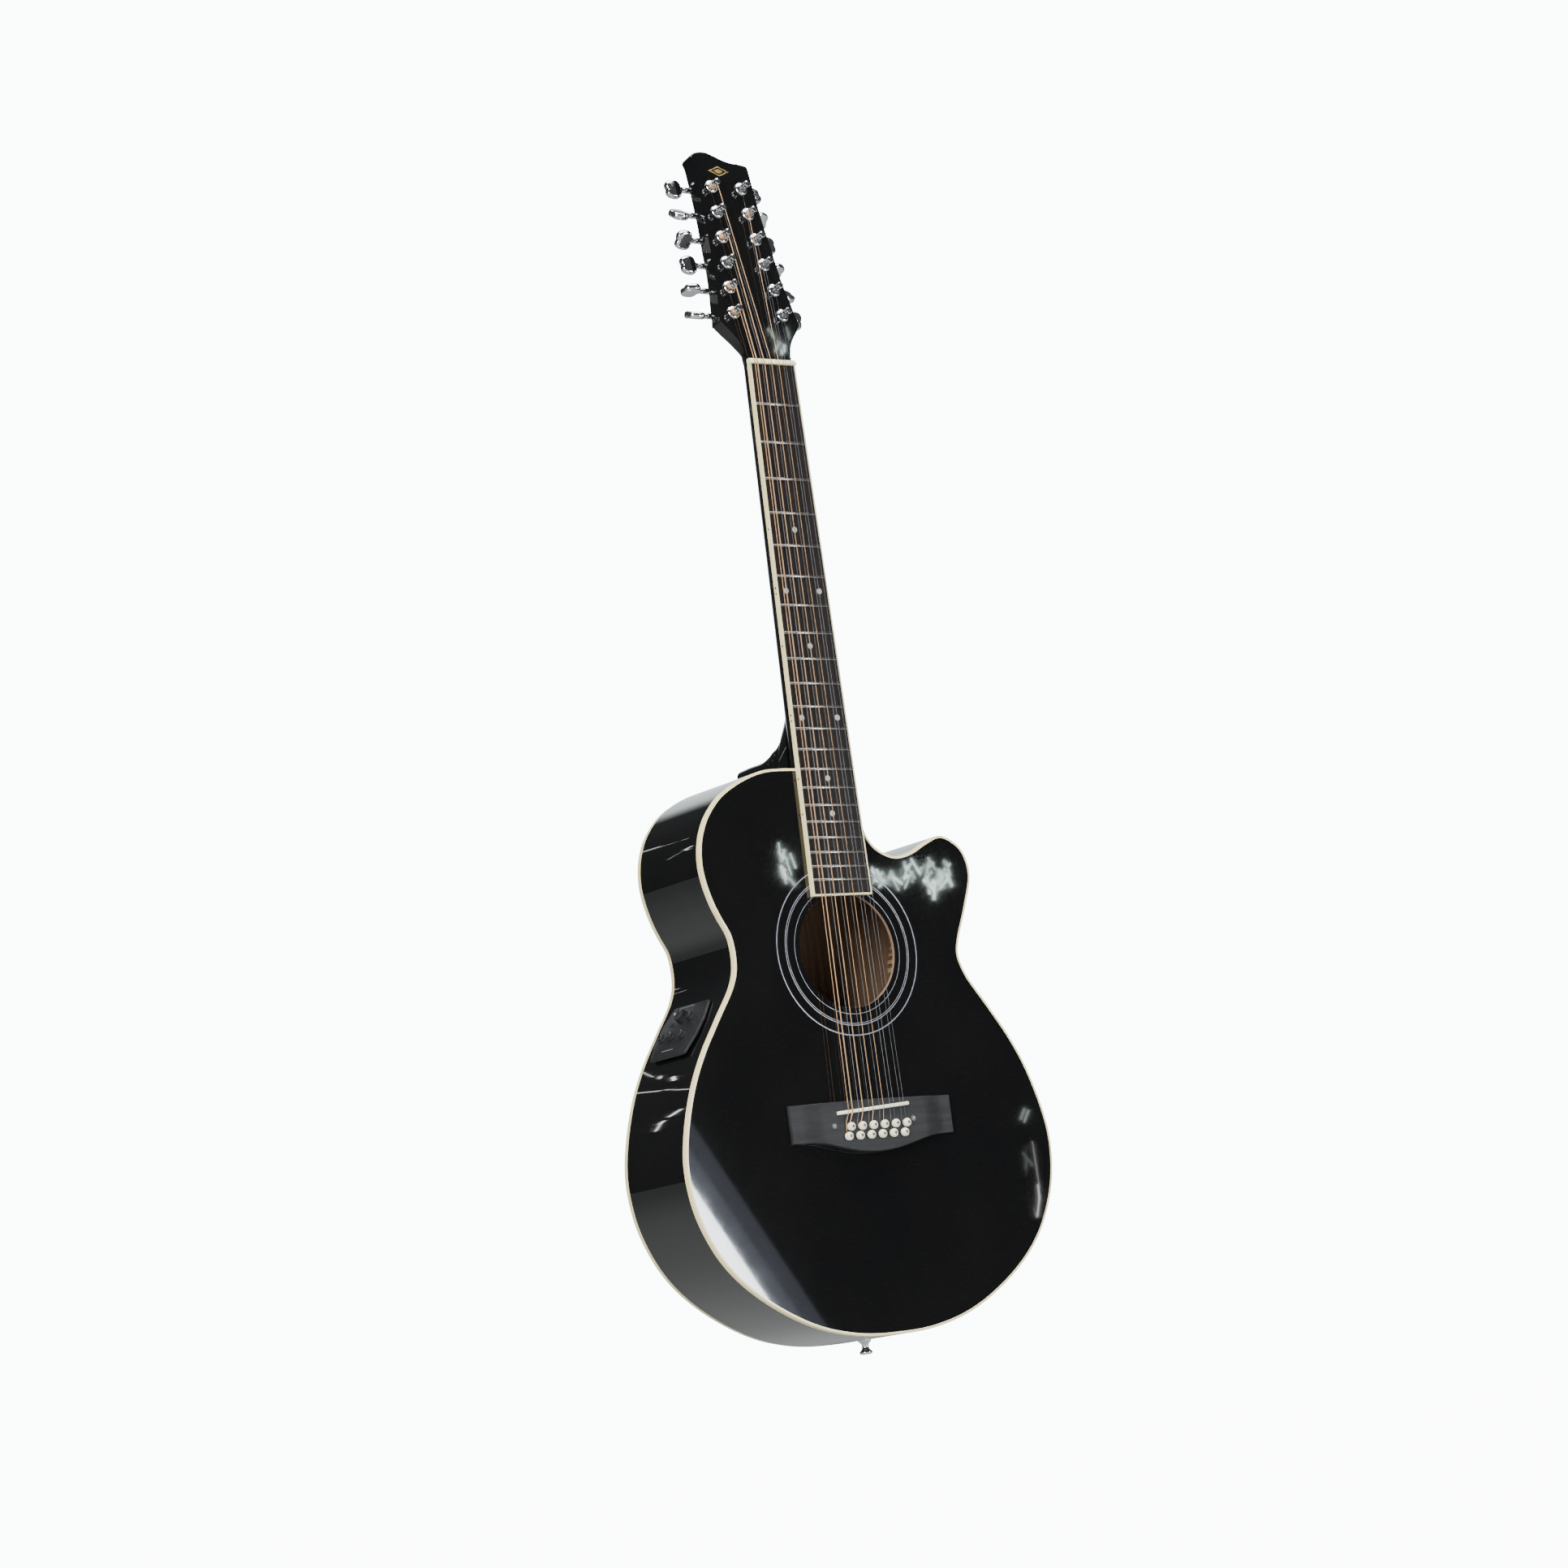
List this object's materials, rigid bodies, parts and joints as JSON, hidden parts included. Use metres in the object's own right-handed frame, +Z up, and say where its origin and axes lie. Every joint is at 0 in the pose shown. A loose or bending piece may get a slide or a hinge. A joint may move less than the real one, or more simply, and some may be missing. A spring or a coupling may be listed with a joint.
{
  "type": "acoustic guitar",
  "caption": "Steel-string acoustic guitar with paired strings, a single cutaway, a solid back-tilted headstock, geared tuners and a side-mounted preamp.",
  "frame": {"origin": "centre of the strap button's flat end face at the tail", "axes": "+Z up the neck to the headstock, -Y the way the strings and soundboard face, +X the treble side with the cutaway"},
  "size_m": [0.3874, 0.1105, 1.0633],
  "materials": {
    "top_lacquer": "black high-gloss lacquer over the spruce top",
    "lacquer": "black high-gloss lacquer",
    "binding": "cream, polished",
    "rosewood": "dark oiled open-pored wood, satin",
    "bone": "ivory white, polished on the crown",
    "bare_wood": "unfinished wood inside the body",
    "chrome": "polished plate",
    "steel_string": "plain drawn steel wire",
    "bronze_string": "bronze winding over a steel core",
    "black_plastic": "fine-textured moulded plastic",
    "knob_rubber": "satin knob with a grip"
  },
  "bodies": {
    "guitar": {"soundboard": "top_lacquer", "back": "lacquer", "rim": "lacquer", "neck": "lacquer", "front_binding": "binding", "back_binding": "binding", "fretboard_binding": "binding", "fretboard": "rosewood", "bridge": "rosewood", "nut": "bone", "saddle": "bone", "neck_block": "bare_wood", "tail_block": "bare_wood", "x_brace": "bare_wood", "strap_button": "chrome", "output_jack": "chrome", "tuner_plate_bass": "chrome", "tuner_plate_treble": "chrome", "preamp_housing": "black_plastic", "string_low_e_octave": "bronze_string", "string_low_e": "bronze_string", "string_a_octave": "steel_string", "string_a": "bronze_string", "string_d_octave": "steel_string", "string_d": "bronze_string", "string_g_octave": "steel_string", "string_g": "bronze_string", "string_b_first": "steel_string", "string_b_second": "steel_string", "string_high_e_first": "steel_string", "string_high_e_second": "steel_string"},
    "key_bass_1": {"key_bass_1": "chrome"},
    "post_bass_1": {"post_bass_1": "chrome"},
    "key_bass_2": {"key_bass_2": "chrome"},
    "post_bass_2": {"post_bass_2": "chrome"},
    "key_bass_3": {"key_bass_3": "chrome"},
    "post_bass_3": {"post_bass_3": "chrome"},
    "key_bass_4": {"key_bass_4": "chrome"},
    "post_bass_4": {"post_bass_4": "chrome"},
    "key_bass_5": {"key_bass_5": "chrome"},
    "post_bass_5": {"post_bass_5": "chrome"},
    "key_bass_6": {"key_bass_6": "chrome"},
    "post_bass_6": {"post_bass_6": "chrome"},
    "key_treble_1": {"key_treble_1": "chrome"},
    "post_treble_1": {"post_treble_1": "chrome"},
    "key_treble_2": {"key_treble_2": "chrome"},
    "post_treble_2": {"post_treble_2": "chrome"},
    "key_treble_3": {"key_treble_3": "chrome"},
    "post_treble_3": {"post_treble_3": "chrome"},
    "key_treble_4": {"key_treble_4": "chrome"},
    "post_treble_4": {"post_treble_4": "chrome"},
    "key_treble_5": {"key_treble_5": "chrome"},
    "post_treble_5": {"post_treble_5": "chrome"},
    "key_treble_6": {"key_treble_6": "chrome"},
    "post_treble_6": {"post_treble_6": "chrome"},
    "volume_knob": {"volume_knob": "knob_rubber"},
    "presence_knob": {"presence_knob": "knob_rubber"},
    "bass_knob": {"bass_knob": "knob_rubber"},
    "middle_knob": {"middle_knob": "knob_rubber"},
    "treble_knob": {"treble_knob": "knob_rubber"}
  },
  "joints": [
    {"name": "key_bass_1_turn", "type": "hinge", "parent": "guitar", "child": "key_bass_1", "pos_m": [-0.0265, -0.02172, 0.90929], "axis": [-1, 0, 0], "continuous": true},
    {"name": "post_bass_1_turn", "type": "hinge", "parent": "guitar", "child": "post_bass_1", "pos_m": [-0.0265, -0.04247, 0.90695], "axis": [0, -0.9839, 0.1785], "continuous": true},
    {"name": "key_bass_2_turn", "type": "hinge", "parent": "guitar", "child": "key_bass_2", "pos_m": [-0.0241, -0.01731, 0.93359], "axis": [-1, 0, 0], "continuous": true},
    {"name": "post_bass_2_turn", "type": "hinge", "parent": "guitar", "child": "post_bass_2", "pos_m": [-0.0241, -0.03806, 0.93125], "axis": [0, -0.9839, 0.1785], "continuous": true},
    {"name": "key_bass_3_turn", "type": "hinge", "parent": "guitar", "child": "key_bass_3", "pos_m": [-0.02, -0.01288, 0.95799], "axis": [-1, 0, 0], "continuous": true},
    {"name": "post_bass_3_turn", "type": "hinge", "parent": "guitar", "child": "post_bass_3", "pos_m": [-0.02, -0.03363, 0.95566], "axis": [0, -0.9839, 0.1785], "continuous": true},
    {"name": "key_bass_4_turn", "type": "hinge", "parent": "guitar", "child": "key_bass_4", "pos_m": [-0.0183, -0.0084, 0.98269], "axis": [-1, 0, 0], "continuous": true},
    {"name": "post_bass_4_turn", "type": "hinge", "parent": "guitar", "child": "post_bass_4", "pos_m": [-0.0183, -0.02915, 0.98035], "axis": [0, -0.9839, 0.1785], "continuous": true},
    {"name": "key_bass_5_turn", "type": "hinge", "parent": "guitar", "child": "key_bass_5", "pos_m": [-0.0167, -0.00392, 1.00738], "axis": [-1, 0, 0], "continuous": true},
    {"name": "post_bass_5_turn", "type": "hinge", "parent": "guitar", "child": "post_bass_5", "pos_m": [-0.0167, -0.02467, 1.00505], "axis": [0, -0.9839, 0.1785], "continuous": true},
    {"name": "key_bass_6_turn", "type": "hinge", "parent": "guitar", "child": "key_bass_6", "pos_m": [-0.016, 0.00056, 1.03208], "axis": [-1, 0, 0], "continuous": true},
    {"name": "post_bass_6_turn", "type": "hinge", "parent": "guitar", "child": "post_bass_6", "pos_m": [-0.016, -0.02019, 1.02975], "axis": [0, -0.9839, 0.1785], "continuous": true},
    {"name": "key_treble_1_turn", "type": "hinge", "parent": "guitar", "child": "key_treble_1", "pos_m": [0.0265, -0.02172, 0.90929], "axis": [1, 0, 0], "continuous": true},
    {"name": "post_treble_1_turn", "type": "hinge", "parent": "guitar", "child": "post_treble_1", "pos_m": [0.0265, -0.04247, 0.90695], "axis": [0, -0.9839, 0.1785], "continuous": true},
    {"name": "key_treble_2_turn", "type": "hinge", "parent": "guitar", "child": "key_treble_2", "pos_m": [0.0241, -0.01731, 0.93359], "axis": [1, 0, 0], "continuous": true},
    {"name": "post_treble_2_turn", "type": "hinge", "parent": "guitar", "child": "post_treble_2", "pos_m": [0.0241, -0.03806, 0.93125], "axis": [0, -0.9839, 0.1785], "continuous": true},
    {"name": "key_treble_3_turn", "type": "hinge", "parent": "guitar", "child": "key_treble_3", "pos_m": [0.02, -0.01288, 0.95799], "axis": [1, 0, 0], "continuous": true},
    {"name": "post_treble_3_turn", "type": "hinge", "parent": "guitar", "child": "post_treble_3", "pos_m": [0.02, -0.03363, 0.95566], "axis": [0, -0.9839, 0.1785], "continuous": true},
    {"name": "key_treble_4_turn", "type": "hinge", "parent": "guitar", "child": "key_treble_4", "pos_m": [0.0183, -0.0084, 0.98269], "axis": [1, 0, 0], "continuous": true},
    {"name": "post_treble_4_turn", "type": "hinge", "parent": "guitar", "child": "post_treble_4", "pos_m": [0.0183, -0.02915, 0.98035], "axis": [0, -0.9839, 0.1785], "continuous": true},
    {"name": "key_treble_5_turn", "type": "hinge", "parent": "guitar", "child": "key_treble_5", "pos_m": [0.0167, -0.00392, 1.00738], "axis": [1, 0, 0], "continuous": true},
    {"name": "post_treble_5_turn", "type": "hinge", "parent": "guitar", "child": "post_treble_5", "pos_m": [0.0167, -0.02467, 1.00505], "axis": [0, -0.9839, 0.1785], "continuous": true},
    {"name": "key_treble_6_turn", "type": "hinge", "parent": "guitar", "child": "key_treble_6", "pos_m": [0.016, 0.00056, 1.03208], "axis": [1, 0, 0], "continuous": true},
    {"name": "post_treble_6_turn", "type": "hinge", "parent": "guitar", "child": "post_treble_6", "pos_m": [0.016, -0.02019, 1.02975], "axis": [0, -0.9839, 0.1785], "continuous": true},
    {"name": "volume_knob_turn", "type": "hinge", "parent": "guitar", "child": "volume_knob", "pos_m": [-0.1406, 0.0056, 0.29756], "axis": [-0.8055, 0, 0.5926], "range_deg": [-150, 150]},
    {"name": "presence_knob_turn", "type": "hinge", "parent": "guitar", "child": "presence_knob", "pos_m": [-0.14161, -0.0084, 0.29619], "axis": [-0.8055, 0, 0.5926], "range_deg": [-150, 150]},
    {"name": "bass_knob_turn", "type": "hinge", "parent": "guitar", "child": "bass_knob", "pos_m": [-0.15221, 0.0226, 0.28177], "axis": [-0.8055, 0, 0.5926], "range_deg": [-150, 150]},
    {"name": "middle_knob_turn", "type": "hinge", "parent": "guitar", "child": "middle_knob", "pos_m": [-0.15186, 0.0091, 0.28226], "axis": [-0.8055, 0, 0.5926], "range_deg": [-150, 150]},
    {"name": "treble_knob_turn", "type": "hinge", "parent": "guitar", "child": "treble_knob", "pos_m": [-0.15257, -0.0085, 0.28129], "axis": [-0.8055, 0, 0.5926], "range_deg": [-150, 150]}
  ],
  "couplings": [
    {"joint": "post_bass_1_turn", "follows": "key_bass_1_turn", "ratio": -0.071429},
    {"joint": "post_bass_2_turn", "follows": "key_bass_2_turn", "ratio": -0.071429},
    {"joint": "post_bass_3_turn", "follows": "key_bass_3_turn", "ratio": -0.071429},
    {"joint": "post_bass_4_turn", "follows": "key_bass_4_turn", "ratio": -0.071429},
    {"joint": "post_bass_5_turn", "follows": "key_bass_5_turn", "ratio": -0.071429},
    {"joint": "post_bass_6_turn", "follows": "key_bass_6_turn", "ratio": -0.071429},
    {"joint": "post_treble_1_turn", "follows": "key_treble_1_turn", "ratio": 0.071429},
    {"joint": "post_treble_2_turn", "follows": "key_treble_2_turn", "ratio": 0.071429},
    {"joint": "post_treble_3_turn", "follows": "key_treble_3_turn", "ratio": 0.071429},
    {"joint": "post_treble_4_turn", "follows": "key_treble_4_turn", "ratio": 0.071429},
    {"joint": "post_treble_5_turn", "follows": "key_treble_5_turn", "ratio": 0.071429},
    {"joint": "post_treble_6_turn", "follows": "key_treble_6_turn", "ratio": 0.071429}
  ]
}
